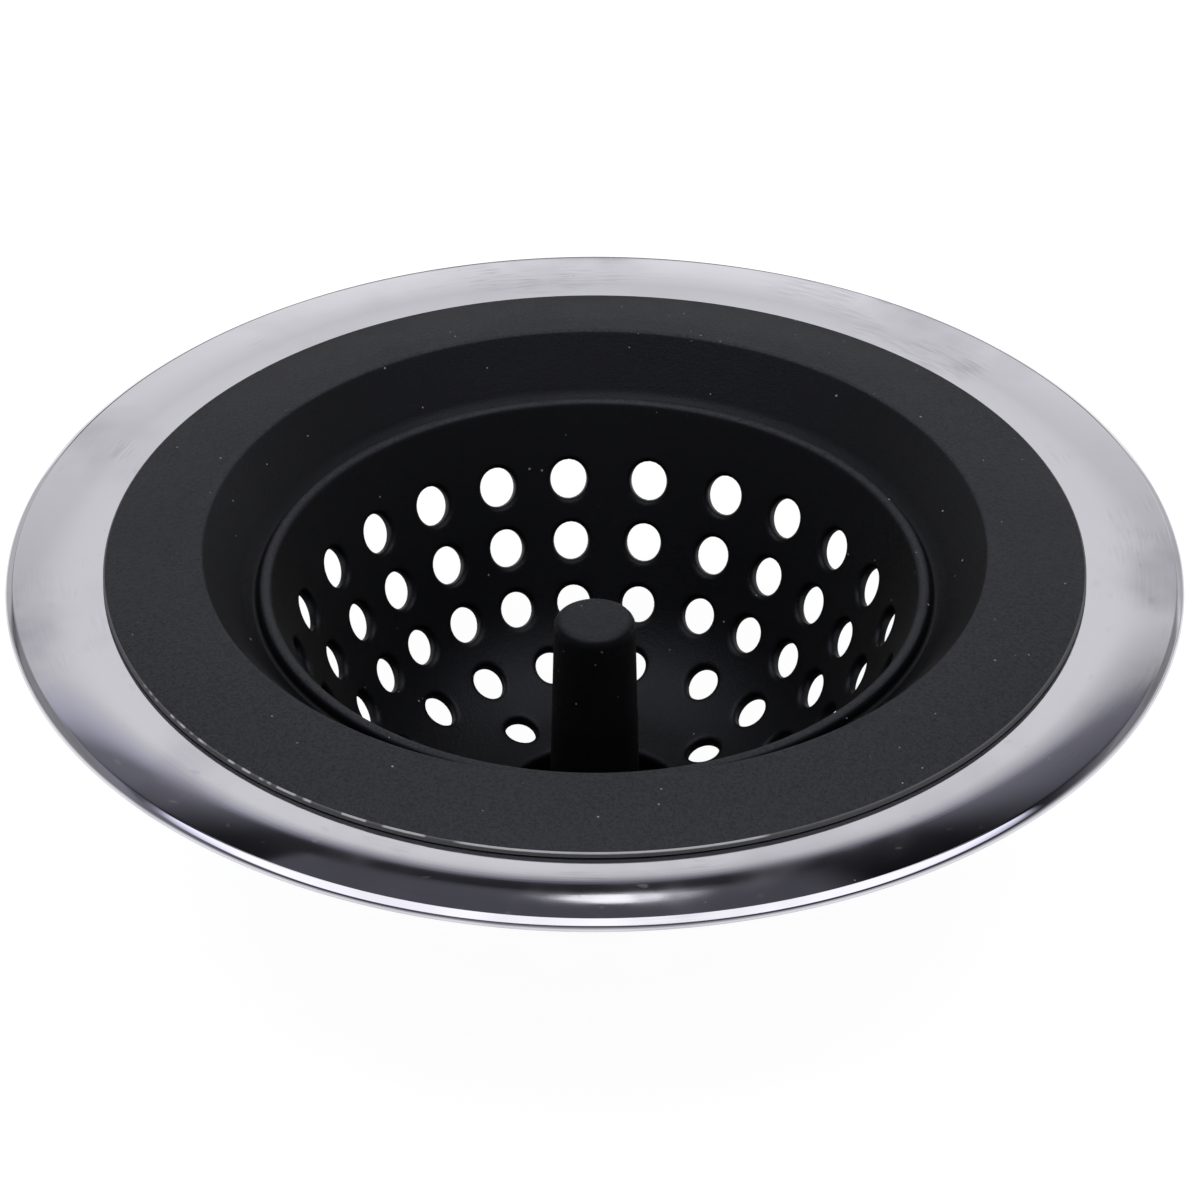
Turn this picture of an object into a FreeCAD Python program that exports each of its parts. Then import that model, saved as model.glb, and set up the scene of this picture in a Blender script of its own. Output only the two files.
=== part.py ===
"""Sink strainer: a perforated silicone basket that grips the inner edge of a pressed steel rim.

Millimetres, +Z up. The origin is the middle of the basket's flat foot, and +Z is the strainer's axis.
Both pieces are turned forms, so each one is a half section in the XZ plane, swept about Z. The holes are
drilled square to the bowl's wall and repeated round the axis.
"""
import FreeCAD
import Part
import Sketcher

import math
import os
from typing import NamedTuple

# Driving sizes, in millimetres, degrees and counts
SIZES = {
    # Steel rim: level where the basket lies on it, then domed down to a turned edge
    "rim_diameter": 114,
    "rim_width": 16,
    "rim_gauge": 0.5,
    "rim_level": 2.6,
    "rim_dome": 45,
    "edge_round": 0.6,
    "edge_bevel": 0.45,
    "edge_slope": 32,
    "edge_land": 0.15,
    # Flange of the basket, with the slot that grips the rim's inner edge
    "flange_overlap": 6.5,
    "lip_height": 0.6,
    "flange_crown": 50,
    "slot_gap": 0.1,
    "bore_gap": 0.3,
    "under_lip_reach": 3,
    "under_lip_thickness": 1.2,
    # Throat from the flange's mouth down to the fold, which flattens and then dips beside the bead
    "mouth_inset": 3,
    "mouth_height": 2.6,
    "mouth_round": 0.45,
    "throat_lean": 39.15,
    "fold_sweep": 2.5,
    "fold_lean": 20,
    "fold_round": 0.4,
    "bead_round": 0.75,
    "bead_drop": 1.61,
    # Bowl
    "wall": 1.1,
    "wall_lean": 21.6,
    "wall_sweep": 135,
    "wall_length": 19.54,
    "corner_round": 15.2,
    "floor_rise": 9,
    # Well and post in the middle of the floor
    "well_diameter": 17.6,
    "well_depth": 3,
    "well_round": 0.7,
    "foot_round": 0.6,
    "post_height": 24.6,
    "post_top_diameter": 7.9,
    "post_foot_diameter": 9,
    "post_round": 0.9,
    # Holes: rows at one pitch down the wall, round the corner and on to the floor, smaller row by row. On
    # the wall and the corner each quarter has even steps, and wider gaps beside its first column
    "hole_diameter": 3.8,
    "hole_taper": 0.17,
    "hole_chamfer": 0.5,
    "first_row": 7.34,
    "row_pitch": 6.2,
    "wall_rows": 3,
    "quarters": 4,
    "wall_holes_per_quarter": 6,
    "wall_hole_step": 14.5,
    "corner_holes_per_quarter": 4,
    "corner_hole_step": 20.9,
    "floor_holes_per_quarter": 2,
    "column_turn": 79.2,
}

# Places worked out from the driving sizes: radii from the axis and heights above the foot
PLACES = {
    # Leans of the wall's end and the floor, the run to the floor, and how far the bowl drops below its bead
    "wall_end_lean": "=Sizes.wall_lean + Sizes.wall_length / Sizes.wall_sweep * 180 / pi",
    "floor_lean": "=90 - Sizes.floor_rise",
    "floor_run": "=Sizes.wall_length + Sizes.corner_round * (floor_lean - wall_end_lean) * pi / 180",
    "bead_radius": "=valley_radius - Sizes.fold_round - Sizes.bead_round",
    "sweep_radius": "=bead_radius - (Sizes.wall_sweep + Sizes.bead_round) * cos(Sizes.wall_lean)",
    "sweep_rise": "=(Sizes.wall_sweep + Sizes.bead_round) * sin(Sizes.wall_lean)",
    "corner_radius": "=sweep_radius + (Sizes.wall_sweep - Sizes.corner_round) * cos(wall_end_lean)",
    "corner_drop": "=(Sizes.wall_sweep - Sizes.corner_round) * sin(wall_end_lean) - sweep_rise",
    "floor_edge_radius": "=corner_radius + Sizes.corner_round * cos(floor_lean)",
    "floor_edge_drop": "=corner_drop + Sizes.corner_round * sin(floor_lean)",
    "well_radius": "=Sizes.well_diameter / 2",
    "well_drop": "=floor_edge_drop + (floor_edge_radius - well_radius) * tan(Sizes.floor_rise)",
    # Heights above the foot
    "well_floor": "=Sizes.wall",
    "well_rim": "=well_floor + Sizes.well_depth",
    "bead_height": "=well_rim + well_drop",
    "seat": "=bead_height + Sizes.bead_round + Sizes.bead_drop",
    "sweep_height": "=bead_height + sweep_rise",
    "corner_height": "=bead_height - corner_drop",
    "fold_height": "=bead_height + fold_climb",
    "shelf_height": "=bead_height - Sizes.fold_round - Sizes.wall",
    "mouth_top": "=seat + Sizes.mouth_height",
    "lip_top": "=seat + Sizes.lip_height",
    "slot_top": "=seat + Sizes.slot_gap",
    "slot_bottom": "=seat - Sizes.rim_gauge - Sizes.slot_gap",
    "under_lip_bottom": "=slot_bottom - Sizes.under_lip_thickness",
    "post_top": "=well_floor + Sizes.post_height",
    # Radii of the flange, the throat, and the valley at the bottom of the fold
    "rim_radius": "=Sizes.rim_diameter / 2",
    "bore_radius": "=rim_radius - Sizes.rim_width",
    "flange_radius": "=bore_radius + Sizes.flange_overlap",
    "slot_radius": "=bore_radius - Sizes.bore_gap",
    "under_lip_radius": "=bore_radius + Sizes.under_lip_reach",
    "mouth_radius": "=bore_radius - Sizes.mouth_inset",
    "fold_back": "=Sizes.fold_sweep - Sizes.fold_round",
    "fold_climb": "=fold_back * cos(Sizes.fold_lean) - Sizes.fold_sweep * sin(Sizes.throat_lean)",
    "throat_drop": "=Sizes.mouth_height + Sizes.bead_drop + Sizes.bead_round - fold_climb",
    "throat_slope": "=tan(Sizes.throat_lean)",
    "throat_skin": "=Sizes.wall / cos(Sizes.throat_lean)",
    "fold_radius": "=mouth_radius - throat_drop * throat_slope",
    "fold_centre": "=fold_radius - Sizes.fold_sweep * cos(Sizes.throat_lean)",
    "valley_radius": "=fold_centre + fold_back * sin(Sizes.fold_lean)",
    "root_radius": "=fold_radius + (under_lip_bottom - fold_height) * throat_slope + throat_skin",
    "shelf_outer_radius": "=fold_radius + (shelf_height - fold_height) * throat_slope + throat_skin",
    "sweep_skin": "=Sizes.wall_sweep + Sizes.wall",
    "corner_skin": "=Sizes.corner_round + Sizes.wall",
    "shelf_inner_radius": "=sweep_radius + sqrt(sweep_skin ^ 2 - (sweep_height - shelf_height) ^ 2)",
    "foot_radius": "=well_radius + Sizes.wall",
    "floor_skin_radius": "=corner_radius + corner_skin * cos(floor_lean)",
    "floor_skin_height": "=corner_height - corner_skin * sin(floor_lean)",
    "foot_shoulder": "=floor_skin_height - (floor_skin_radius - foot_radius) * tan(Sizes.floor_rise)",
    # Rim's dome, and the turned edge with a bevel between its two bends
    "level_radius": "=flange_radius + Sizes.rim_level",
    "turn_radius": "=rim_radius - Sizes.edge_round",
    "edge_radius": "=turn_radius - Sizes.edge_bevel * cos(Sizes.edge_slope)",
    "edge_lean": "=asin((edge_radius - level_radius) / (Sizes.rim_dome - Sizes.edge_round))",
    "dome_height": "=seat - Sizes.rim_dome",
    "edge_height": "=dome_height + (Sizes.rim_dome - Sizes.edge_round) * cos(edge_lean)",
    "turn_height": "=edge_height - Sizes.edge_bevel * sin(Sizes.edge_slope)",
    "edge_bottom": "=turn_height - Sizes.edge_land",
    "dome_back": "=Sizes.rim_dome - Sizes.rim_gauge",
    "edge_back": "=Sizes.edge_round - Sizes.rim_gauge",
}

# How far a drilled pin runs on past each side of the wall
PIN_OVERRUN = 1.0

doc = FreeCAD.newDocument("SinkStrainer")
sizes = doc.addObject("Spreadsheet::Sheet", "Sizes")
places = doc.addObject("Spreadsheet::Sheet", "Places")
for sheet, cells in ((sizes, SIZES), (places, PLACES)):
    for row, alias in enumerate(cells, start=1):
        sheet.set(f"A{row}", alias)
        sheet.setAlias(f"B{row}", alias)
for sheet, cells in ((sizes, SIZES), (places, PLACES)):
    for row, content in enumerate(cells.values(), start=1):
        sheet.set(f"B{row}", str(content))
doc.recompute()


class Station(NamedTuple):
    """A point of a section, and the leg that leads to it: straight, or an arc that bends left or right."""
    across: str
    up: str
    arc: str = ""
    bend: str = ""


def number(expression):
    """Present value of an expression."""
    return float(sizes.evalExpression(expression))


def origin_feature(body, role):
    """One of the body's own origin planes or axes."""
    return next(feature for feature in body.Origin.OriginFeatures if feature.Role == role)


def arc_between(start, end, radius, bend):
    """The shorter arc between two points of the sketch, with its centre left or right of the way."""
    chord = end - start
    offset = math.sqrt(max(radius ** 2 - chord.Length ** 2 / 4, 0))
    left = FreeCAD.Vector(-chord.y, chord.x, 0).normalize()
    side = 1 if bend == "left" else -1
    centre = (start + end) / 2 + left * offset * side
    angles = [math.atan2(point.y - centre.y, point.x - centre.x) for point in (start, end)]
    if bend == "right":
        angles.reverse()
    return Part.ArcOfCircle(Part.Circle(centre, FreeCAD.Vector(0, 0, 1), radius), *angles)


def draw_section(body, name, stations):
    """Closed outline in the body's XZ plane, with every point and every arc bound to the sheets."""
    sketch = body.newObject("Sketcher::SketchObject", name)
    sketch.AttachmentSupport = (origin_feature(body, "XZ_Plane"), [""])
    sketch.MapMode = "FlatFace"
    points = [FreeCAD.Vector(number(at.across), number(at.up), 0) for at in stations]
    begins = []
    ends = []
    for index, start in enumerate(points):
        leg = stations[(index + 1) % len(stations)]
        end = points[(index + 1) % len(points)]
        if leg.arc:
            sketch.addGeometry(arc_between(start, end, number(leg.arc), leg.bend))
        else:
            sketch.addGeometry(Part.LineSegment(start, end))
        begins.append((index, 2 if leg.bend == "right" else 1))
        ends.append((index, 1 if leg.bend == "right" else 2))
    for index in range(len(points)):
        sketch.addConstraint(Sketcher.Constraint("Coincident", *ends[index - 1], *begins[index]))
    for index, at in enumerate(stations):
        bind_point(sketch, begins[index], at)
        leg = stations[(index + 1) % len(stations)]
        if leg.arc:
            bind(sketch, Sketcher.Constraint("Radius", index, number(leg.arc)), leg.arc)
    return sketch


def bind(sketch, constraint, expression):
    """Add a dimension to the sketch and bind it to an expression."""
    index = sketch.addConstraint(constraint)
    sketch.setExpression(f"Constraints[{index}]", expression)


def bind_point(sketch, point, at):
    """Hold a point at its place, or on the sketch's own axis where its place is zero."""
    if at.across == "0":
        sketch.addConstraint(Sketcher.Constraint("PointOnObject", *point, -2))
    else:
        bind(sketch, Sketcher.Constraint("DistanceX", -1, 1, *point, number(at.across)), at.across)
    if at.up == "0":
        sketch.addConstraint(Sketcher.Constraint("PointOnObject", *point, -1))
    else:
        bind(sketch, Sketcher.Constraint("DistanceY", -1, 1, *point, number(at.up)), at.up)


def turn(body, sketch, name):
    """Sweep a section round the strainer's axis."""
    solid = body.newObject("PartDesign::Revolution", name)
    solid.Profile = sketch
    solid.ReferenceAxis = (origin_feature(body, "Z_Axis"), [""])
    solid.Angle = 360
    doc.recompute()
    return solid


def round_ring(body, name, across, up, radius):
    """Round the circular edge that runs round the axis at the given radius and height."""
    base = body.Tip
    where = (number(across), number(up))
    rings = []
    for index, edge in enumerate(base.Shape.Edges, start=1):
        if isinstance(edge.Curve, Part.Circle):
            ring = (edge.Curve.Radius, edge.Curve.Center.z)
            if math.dist(ring, where) < 1e-4:
                rings.append(f"Edge{index}")
    fillet = body.newObject("PartDesign::Fillet", name)
    fillet.Base = (base, rings)
    fillet.setExpression("Radius", radius)
    doc.recompute()
    return fillet


def along_bowl(run):
    """Place on the bowl's inner face, and its lean, at a run down from the bead: wall, corner or floor."""
    if number(run) <= number("Sizes.wall_length"):
        lean = f"(Sizes.wall_lean + ({run}) / Sizes.wall_sweep * 180 / pi)"
        across = f"(Places.sweep_radius + Sizes.wall_sweep * cos({lean}))"
        up = f"(Places.sweep_height - Sizes.wall_sweep * sin({lean}))"
    elif number(run) <= number("Places.floor_run"):
        lean = f"(Places.wall_end_lean + ({run} - Sizes.wall_length) / Sizes.corner_round * 180 / pi)"
        across = f"(Places.corner_radius + Sizes.corner_round * cos({lean}))"
        up = f"(Places.corner_height - Sizes.corner_round * sin({lean}))"
    else:
        lean = "Places.floor_lean"
        across = f"(Places.floor_edge_radius - ({run} - Places.floor_run) * sin({lean}))"
        up = f"(Places.bead_height - Places.floor_edge_drop - ({run} - Places.floor_run) * cos({lean}))"
    return across, up, lean


def drill(body, name, row):
    """Cut one row's first hole square to the wall, with its inner edge eased."""
    across, up, lean = along_bowl(f"(Sizes.first_row + {row} * Sizes.row_pitch)")

    def pin(depth, reach):
        """A point of the pin, at a depth below the inner face and a reach from its axis."""
        return (f"{across} + ({depth}) * cos({lean}) + ({reach}) * sin({lean})",
                f"{up} - ({depth}) * sin({lean}) + ({reach}) * cos({lean})")

    bore = f"(Sizes.hole_diameter - {row} * Sizes.hole_taper) / 2"
    flare = f"{bore} + Sizes.hole_chamfer"
    beyond = f"Sizes.wall + {PIN_OVERRUN}"
    sketch = draw_section(body, f"{name}_pin", [
        Station(*pin(-PIN_OVERRUN, 0)),
        Station(*pin(-PIN_OVERRUN, flare)),
        Station(*pin(0, flare)),
        Station(*pin("Sizes.hole_chamfer", bore)),
        Station(*pin(beyond, bore)),
        Station(*pin(beyond, 0)),
    ])
    outer_end = sketch.GeometryCount - 1
    axis = sketch.addGeometry(sketch.Geometry[outer_end], True)
    for end in (1, 2):
        sketch.addConstraint(Sketcher.Constraint("Coincident", outer_end, end, axis, end))
    before = body.Shape.Volume
    cut = body.newObject("PartDesign::Groove", name)
    cut.Profile = sketch
    cut.ReferenceAxis = (sketch, ["Axis0"])
    cut.Angle = 360
    cut.Refine = False
    doc.recompute()
    if body.Shape.Volume >= before:
        raise RuntimeError(f"{name} cuts nothing")
    return cut


def repeat(body, cuts, name, holes, step=None):
    """Repeat holes round the axis, evenly or with a step that leaves wider gaps beside each first column."""
    ring = body.newObject("PartDesign::PolarPattern", name)
    ring.Originals = cuts
    ring.Refine = False
    ring.Axis = (origin_feature(body, "Z_Axis"), [""])
    ring.Angle = 360
    if step:
        ring.Mode = "Spacing"
        ring.SpacingPattern = quarter_gaps(holes, step)
    ring.setExpression("Occurrences", f"Sizes.quarters * {holes}")
    body.Tip = ring
    doc.recompute()
    return ring


def quarter_gaps(holes, step):
    """Gaps between one quarter's holes: even steps, with what is left shared beside the first column."""
    quarter = 360 / number("Sizes.quarters")
    even = int(number(holes)) - 2
    wide = (quarter - even * number(step)) / 2
    return [wide] + even * [number(step)] + [wide]


def make_steel_rim():
    """Pressed sheet ring: level inner part, domed outer part, and a bevelled edge turned down on the sink."""
    body = doc.addObject("PartDesign::Body", "SteelRim")
    body.Label = "steel_rim"
    lean = "Places.edge_lean"

    def bend(place, radius):
        """Where the bevel meets one of its bends, on a face of the sheet at that bend's radius."""
        return (f"Places.{place}_radius + {radius} * sin(Sizes.edge_slope)",
                f"Places.{place}_height + {radius} * cos(Sizes.edge_slope)")

    section = draw_section(body, "rim_section", [
        Station("Places.bore_radius", "Places.seat - Sizes.rim_gauge"),
        Station("Places.level_radius", "Places.seat - Sizes.rim_gauge"),
        Station(f"Places.level_radius + Places.dome_back * sin({lean})",
                f"Places.dome_height + Places.dome_back * cos({lean})", "Places.dome_back", "right"),
        Station(*bend("edge", "Places.edge_back"), "Places.edge_back", "right"),
        Station(*bend("turn", "Places.edge_back")),
        Station("Places.turn_radius + Places.edge_back", "Places.turn_height", "Places.edge_back", "right"),
        Station("Places.turn_radius + Places.edge_back", "Places.edge_bottom"),
        Station("Places.rim_radius", "Places.edge_bottom"),
        Station("Places.rim_radius", "Places.turn_height"),
        Station(*bend("turn", "Sizes.edge_round"), "Sizes.edge_round", "left"),
        Station(*bend("edge", "Sizes.edge_round")),
        Station(f"Places.level_radius + Sizes.rim_dome * sin({lean})",
                f"Places.dome_height + Sizes.rim_dome * cos({lean})", "Sizes.edge_round", "left"),
        Station("Places.level_radius", "Places.seat", "Sizes.rim_dome", "left"),
        Station("Places.bore_radius", "Places.seat"),
    ])
    turn(body, section, "rim_sheet")
    return body


def make_silicone_basket():
    """One moulding: flange with its slot, throat, folded bead, bowl, well, post and five rows of holes."""
    body = doc.addObject("PartDesign::Body", "SiliconeBasket")
    body.Label = "silicone_basket"
    wall_end = "Places.wall_end_lean"
    section = draw_section(body, "basket_section", [
        # Post, well and floor
        Station("0", "0"),
        Station("0", "Places.post_top"),
        Station("Sizes.post_top_diameter / 2", "Places.post_top"),
        Station("Sizes.post_foot_diameter / 2", "Places.well_floor"),
        Station("Places.well_radius", "Places.well_floor"),
        Station("Places.well_radius", "Places.well_rim"),
        Station("Places.floor_edge_radius", "Places.bead_height - Places.floor_edge_drop"),
        # Corner, wall and bead
        Station(f"Places.sweep_radius + Sizes.wall_sweep * cos({wall_end})",
                f"Places.sweep_height - Sizes.wall_sweep * sin({wall_end})", "Sizes.corner_round", "left"),
        Station("Places.bead_radius - Sizes.bead_round * cos(Sizes.wall_lean)",
                "Places.bead_height + Sizes.bead_round * sin(Sizes.wall_lean)", "Sizes.wall_sweep", "left"),
        Station("Places.bead_radius + Sizes.bead_round", "Places.bead_height", "Sizes.bead_round", "right"),
        # Fold, throat and flange
        Station("Places.valley_radius + Sizes.fold_round * sin(Sizes.fold_lean)",
                "Places.bead_height - Sizes.fold_round * cos(Sizes.fold_lean)", "Sizes.fold_round", "left"),
        Station("Places.fold_radius", "Places.fold_height", "Sizes.fold_sweep", "left"),
        Station("Places.mouth_radius", "Places.mouth_top"),
        Station("Places.flange_radius", "Places.lip_top", "Sizes.flange_crown", "right"),
        # Slot round the rim's inner edge, and the lip under it
        Station("Places.flange_radius", "Places.slot_top"),
        Station("Places.slot_radius", "Places.slot_top"),
        Station("Places.slot_radius", "Places.slot_bottom"),
        Station("Places.under_lip_radius", "Places.slot_bottom"),
        Station("Places.under_lip_radius", "Places.under_lip_bottom"),
        Station("Places.root_radius", "Places.under_lip_bottom"),
        # Outside of the throat, the fold, the bowl and the foot
        Station("Places.shelf_outer_radius", "Places.shelf_height"),
        Station("Places.shelf_inner_radius", "Places.shelf_height"),
        Station(f"Places.sweep_radius + Places.sweep_skin * cos({wall_end})",
                f"Places.sweep_height - Places.sweep_skin * sin({wall_end})", "Places.sweep_skin", "right"),
        Station("Places.floor_skin_radius", "Places.floor_skin_height", "Places.corner_skin", "right"),
        Station("Places.foot_radius", "Places.foot_shoulder"),
        Station("Places.foot_radius", "0"),
    ])
    turn(body, section, "basket_moulding")

    round_ring(body, "post_crown", "Sizes.post_top_diameter / 2", "Places.post_top", "Sizes.post_round")
    round_ring(body, "mouth_edge", "Places.mouth_radius", "Places.mouth_top", "Sizes.mouth_round")
    round_ring(body, "well_edge", "Places.well_radius", "Places.well_rim", "Sizes.well_round")
    round_ring(body, "foot_edge", "Places.foot_radius", "0", "Sizes.foot_round")

    wall_rows = int(number("Sizes.wall_rows"))
    column = [drill(body, f"wall_hole_{row + 1}", row) for row in range(wall_rows)]
    repeat(body, column, "wall_holes", "Sizes.wall_holes_per_quarter", "Sizes.wall_hole_step")
    corner_hole = drill(body, "corner_hole", wall_rows)
    repeat(body, [corner_hole], "corner_holes", "Sizes.corner_holes_per_quarter", "Sizes.corner_hole_step")
    floor_hole = drill(body, "floor_hole", wall_rows + 1)
    repeat(body, [floor_hole], "floor_holes", "Sizes.floor_holes_per_quarter")

    body.Placement = FreeCAD.Placement(FreeCAD.Vector(), FreeCAD.Rotation(FreeCAD.Vector(0, 0, 1), 1))
    body.setExpression("Placement.Rotation.Angle", "Sizes.column_turn")
    return body


def check_and_export(bodies):
    """Stop if anything failed or a piece isn't one sound solid, then write one STEP file for each piece."""
    doc.recompute()
    failed = [item.Label for item in doc.Objects if {"Invalid", "Error"} & set(item.State)]
    if failed:
        raise RuntimeError(f"failed: {failed}")
    for body in bodies:
        if body.Shape.isNull() or not body.Shape.isValid() or len(body.Shape.Solids) != 1:
            raise RuntimeError(f"{body.Label} isn't one sound solid")
    os.makedirs("parts", exist_ok=True)
    for body in bodies:
        body.Shape.exportStep(f"parts/{body.Label}.step")
        box = body.Shape.optimalBoundingBox()
        print(f"{body.Label}: {body.Shape.Volume / 1000:.2f} cm3, {box.XLength:.2f} x {box.YLength:.2f} mm,"
              f" z {box.ZMin:.2f} to {box.ZMax:.2f}")


check_and_export([make_steel_rim(), make_silicone_basket()])
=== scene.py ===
"""Looks of the sink strainer: a polished steel rim and a perforated black silicone basket on a pale floor."""

import math
from functools import cached_property

import bpy
from bpy.props import FloatProperty, FloatVectorProperty, IntProperty, PointerProperty
from bpy.types import Operator, Panel, PropertyGroup
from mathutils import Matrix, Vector


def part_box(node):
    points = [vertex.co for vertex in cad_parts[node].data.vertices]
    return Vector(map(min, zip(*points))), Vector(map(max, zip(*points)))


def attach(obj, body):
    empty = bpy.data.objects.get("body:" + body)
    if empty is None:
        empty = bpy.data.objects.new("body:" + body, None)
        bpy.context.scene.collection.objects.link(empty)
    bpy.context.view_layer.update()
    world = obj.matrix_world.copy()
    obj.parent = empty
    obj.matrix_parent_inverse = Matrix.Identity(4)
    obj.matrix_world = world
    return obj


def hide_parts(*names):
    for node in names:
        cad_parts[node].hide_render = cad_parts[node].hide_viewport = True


bl_info = {
    "name": "Sink strainer",
    "version": (1, 0, 0),
    "blender": (4, 5, 0),
    "location": "3D View > Sidebar > Strainer",
    "description": "Makes the steel rim and the silicone basket of a sink strainer, with their finishes and a stage",
    "category": "Add Mesh",
}

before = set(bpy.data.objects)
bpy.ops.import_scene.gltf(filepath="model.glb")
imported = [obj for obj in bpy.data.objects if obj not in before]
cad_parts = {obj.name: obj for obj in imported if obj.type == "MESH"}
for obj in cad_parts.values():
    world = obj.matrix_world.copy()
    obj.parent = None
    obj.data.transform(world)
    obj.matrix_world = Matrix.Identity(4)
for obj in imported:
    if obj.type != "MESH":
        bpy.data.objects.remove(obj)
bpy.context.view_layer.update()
RIM_LOW, RIM_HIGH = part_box("steel_rim")
FLANGE_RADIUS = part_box("silicone_basket")[1].x
SEAT = RIM_HIGH.z
MM = 0.001

# Points round each turned piece, and along each small rounding of a section
RIM_STEPS = 288
CELL_STEPS = 8
SIDE_STEPS = 8
ROUND_STEPS = 6
# Distance from a rounding at which a straight stretch gets a ring that keeps its shading flat
SUPPORT = 0.15 * MM
SHARP_ANGLE = math.radians(40)
# Rings between a hole and the edge of its cell, as parts of the way out, on the inner and the outer skin
INNER_PARTS, OUTER_PART = (0.55, 0.2), 0.5
FLOOR_GAP = 0.05 * MM


def setting(kind=FloatProperty, **options):
    """A maker of the settings of one kind."""
    def make(name, description, default):
        return kind(name=name, description=description, default=default, **options)
    return make


# Lengths in metres, shares from none to all, surface colours in linear light, and whole numbers
length = setting(precision=5, unit="LENGTH", subtype="DISTANCE")
share = setting(min=0, max=1, subtype="FACTOR")
tint = setting(FloatVectorProperty, size=3, min=0, max=1, subtype="COLOR")
whole = setting(IntProperty)


def mm(name, description, millimetres):
    """A length given in millimetres."""
    return length(name, description, millimetres * MM)


def bearing(name, description, degrees):
    """An angle given in degrees."""
    return setting(unit="ROTATION", subtype="ANGLE")(name, description, math.radians(degrees))


class RimSettings(PropertyGroup):
    """Sizes of the pressed steel rim."""
    outer_radius: length("Outer radius", "From the axis to the turned edge", RIM_HIGH.x)
    seat: length("Seat height", "Top of the rim's level part", SEAT)
    foot: length("Edge height", "Lower end of the turned edge", RIM_LOW.z)
    bore_radius: mm("Bore radius", "Hole that the basket sits in", 41)
    level_radius: mm("Level radius", "Where the level part ends and the dome starts", 50.1)
    dome: mm("Dome", "Radius of the dome's section", 45)
    edge_round: mm("Edge rounding", "Radius of the turned edge's two bends", 0.6)
    edge_bevel: mm("Edge bevel", "Straight stretch between those bends", 0.45)
    edge_slope: bearing("Edge slope", "How steeply the bevel falls", 32)
    gauge: mm("Gauge", "Thickness of the sheet", 0.5)
    cut_round: mm("Cut rounding", "Rounding of the sheet's cut edges", 0.12)


class BasketSettings(PropertyGroup):
    """Sizes of the silicone moulding's section."""
    flange_radius: length("Flange radius", "From the axis to the lip's edge", FLANGE_RADIUS)
    mouth_top: length("Mouth height", "Crest of the flange above the foot", SEAT + 2.6 * MM)
    lip_height: mm("Lip height", "Edge of the flange above the steel", 0.6)
    lip_round: mm("Lip rounding", "Rounding of the lip's upper edge", 0.2)
    slot_gap: mm("Slot gap", "Play of the steel in its slot", 0.1)
    slot_radius: mm("Slot radius", "Floor of the slot that grips the steel", 40.7)
    under_lip_radius: mm("Under lip radius", "Edge of the lip under the steel", 44)
    under_lip: mm("Under lip", "Thickness of the lip under the steel", 1.2)
    crown: mm("Crown", "Radius of the flange's crowned top", 50)
    mouth_radius: mm("Mouth radius", "From the axis to the flange's crest", 38)
    mouth_round: mm("Mouth rounding", "Rounding from the flange into the throat", 0.45)
    throat_lean: bearing("Throat lean", "How far the throat leans in below the mouth", 39.15)
    fold_sweep: mm("Fold sweep", "Radius of the bend at the throat's lower end", 2.5)
    fold_lean: bearing("Fold lean", "Slope left where that bend meets the valley", 20)
    fold_round: mm("Fold rounding", "Radius of the valley beside the bead", 0.4)
    bead_radius: mm("Bead radius", "From the axis to the middle of the bead", 31.913)
    bead_height: length("Bead height", "Middle of the bead above the foot", SEAT - 2.36 * MM)
    bead_round: mm("Bead rounding", "Radius of the bead", 0.75)
    wall: mm("Wall", "Thickness of the bowl", 1.1)
    wall_lean: bearing("Wall lean", "How far the wall leans in below the bead", 21.6)
    wall_sweep: mm("Wall sweep", "Radius of the wall's section", 135)
    wall_length: mm("Wall length", "From the bead down to the corner", 19.54)
    corner_round: mm("Corner rounding", "Radius of the bowl's lower corner", 15.2)
    floor_rise: bearing("Floor rise", "Slope of the bowl's floor", 9)
    well_radius: mm("Well radius", "Pit round the post", 8.8)
    well_round: mm("Well rounding", "Rounding from the floor into the well", 0.7)
    well_fillet: mm("Well fillet", "Rounding at the bottom of the well", 0.6)
    post_top: length("Post height", "Top of the post above the foot", SEAT - 6 * MM)
    post_radius: mm("Post radius", "Post at its top", 3.95)
    post_foot_radius: mm("Post foot radius", "Post at the bottom of the well", 4.5)
    post_round: mm("Post rounding", "Rounding of the post's top", 0.9)
    foot_round: mm("Foot rounding", "Rounding of the foot's edge", 0.6)


class HoleSettings(PropertyGroup):
    """Sizes and counts of the holes."""
    radius: mm("Hole radius", "Bore of the first row's holes", 1.9)
    taper: mm("Hole taper", "How much smaller each next row's holes are", 0.085)
    narrow: share("Narrowing", "Width of the oval holes, of their round size", 0.95)
    flare: mm("Flare", "Rounding of the inner edge", 0.5)
    outer_round: mm("Outer rounding", "Rounding of the outer edge", 0.12)
    first_row: mm("First row", "Run from the bead to the first row", 7.34)
    row_pitch: mm("Row pitch", "Run from row to row", 6.2)
    wall_rows: whole("Wall rows", "Rows on the wall", 3)
    quarters: whole("Quarters", "Sectors that repeat", 4)
    wall_holes: whole("Wall holes", "Wall holes in each quarter", 6)
    wall_step: bearing("Wall step", "Even step between wall holes", 14.5)
    corner_holes: whole("Corner holes", "Corner holes in each quarter", 4)
    corner_step: bearing("Corner step", "Even step between corner holes", 20.9)
    floor_holes: whole("Floor holes", "Floor holes in each quarter", 2)
    column_turn: bearing("Column turn", "Bearing of the first column", 79.2)


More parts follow.
